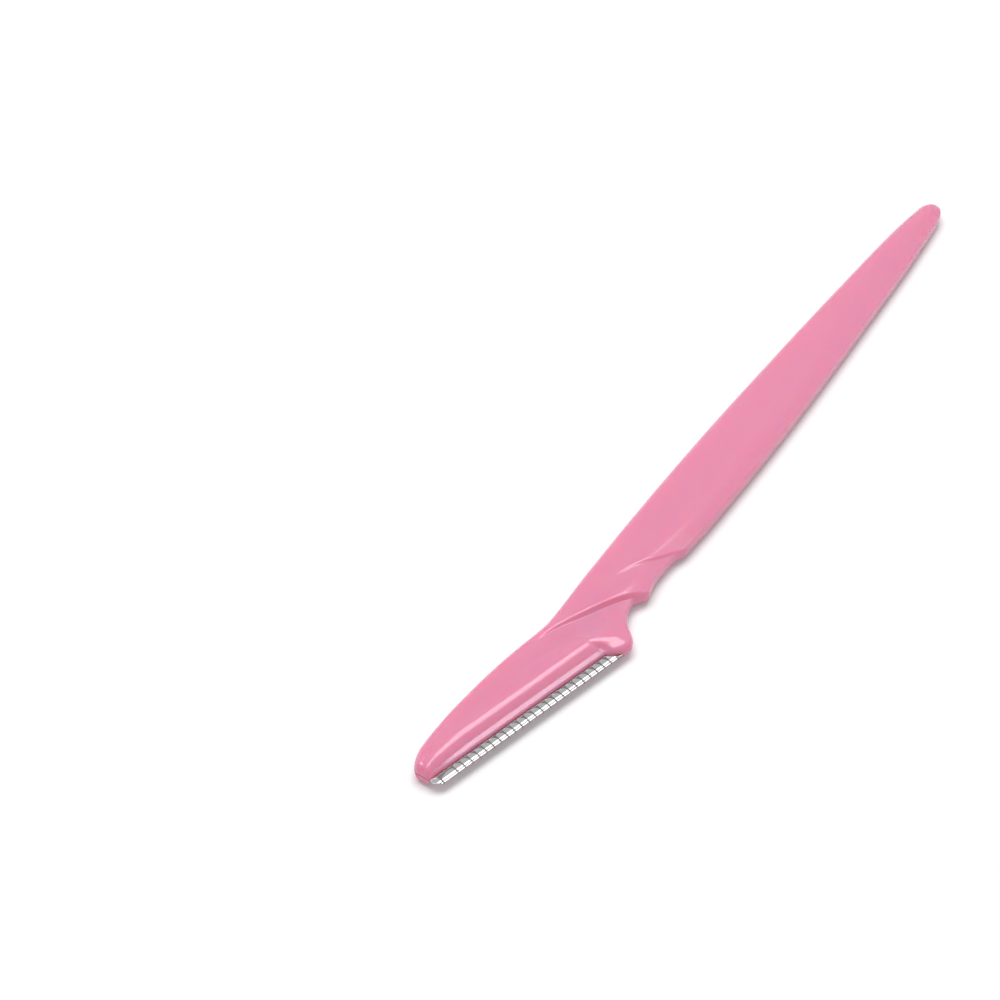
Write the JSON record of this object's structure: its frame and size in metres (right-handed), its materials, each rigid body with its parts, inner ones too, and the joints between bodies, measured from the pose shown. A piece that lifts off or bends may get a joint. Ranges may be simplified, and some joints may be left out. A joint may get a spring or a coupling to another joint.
{
  "type": "eyebrow razor",
  "caption": "Flat moulded plastic eyebrow razor with a long tapered handle, a crescent-stepped neck, a round heel lobe and a slim steel blade behind a windowed foil guard.",
  "frame": {"origin": "centre of the bounding box in plan, on the flat land of the side that the razor lies on", "axes": "+X from the tip of the head to the end of the handle; +Y from the cutting edge to the back; +Z square to the flat sides"},
  "size_m": [0.1548, 0.0156, 0.0035],
  "materials": {
    "plastic": "glossy pink, as moulded",
    "blade_steel": "ground",
    "guard_foil": "satin"
  },
  "bodies": {
    "root": {"handle": "plastic", "blade": "blade_steel", "guard": "guard_foil"}
  },
  "joints": []
}
